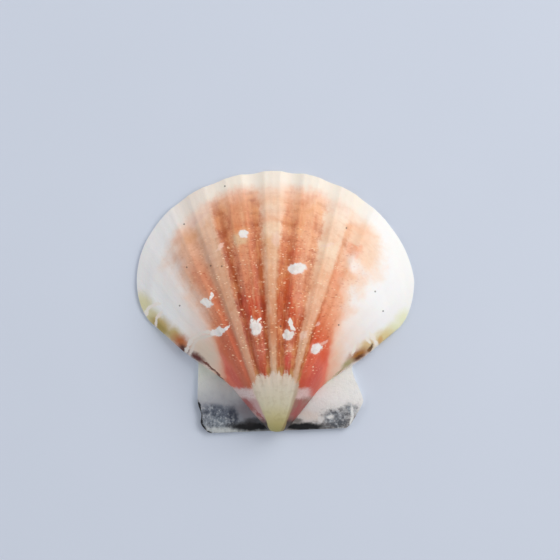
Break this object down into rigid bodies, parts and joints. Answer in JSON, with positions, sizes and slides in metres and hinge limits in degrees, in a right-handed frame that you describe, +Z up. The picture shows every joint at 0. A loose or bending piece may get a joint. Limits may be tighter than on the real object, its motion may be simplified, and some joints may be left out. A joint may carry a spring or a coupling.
{
  "type": "scallop shell",
  "caption": "Domed, fan-shaped scallop valve with broad radiating ribs, a blunt beak, uneven ears at the hinge and a hollow underside.",
  "frame": {"origin": "under the middle of the shell's bounding box, on the plane that its open side rests on", "axes": "+X across the fan, towards the longer ear, +Y from the hinge to the round front edge, +Z up through the dome"},
  "size_m": [0.0556, 0.0524, 0.0105],
  "materials": {
    "shell": "satin"
  },
  "bodies": {
    "root": {"scallop_shell": "shell"}
  },
  "joints": []
}
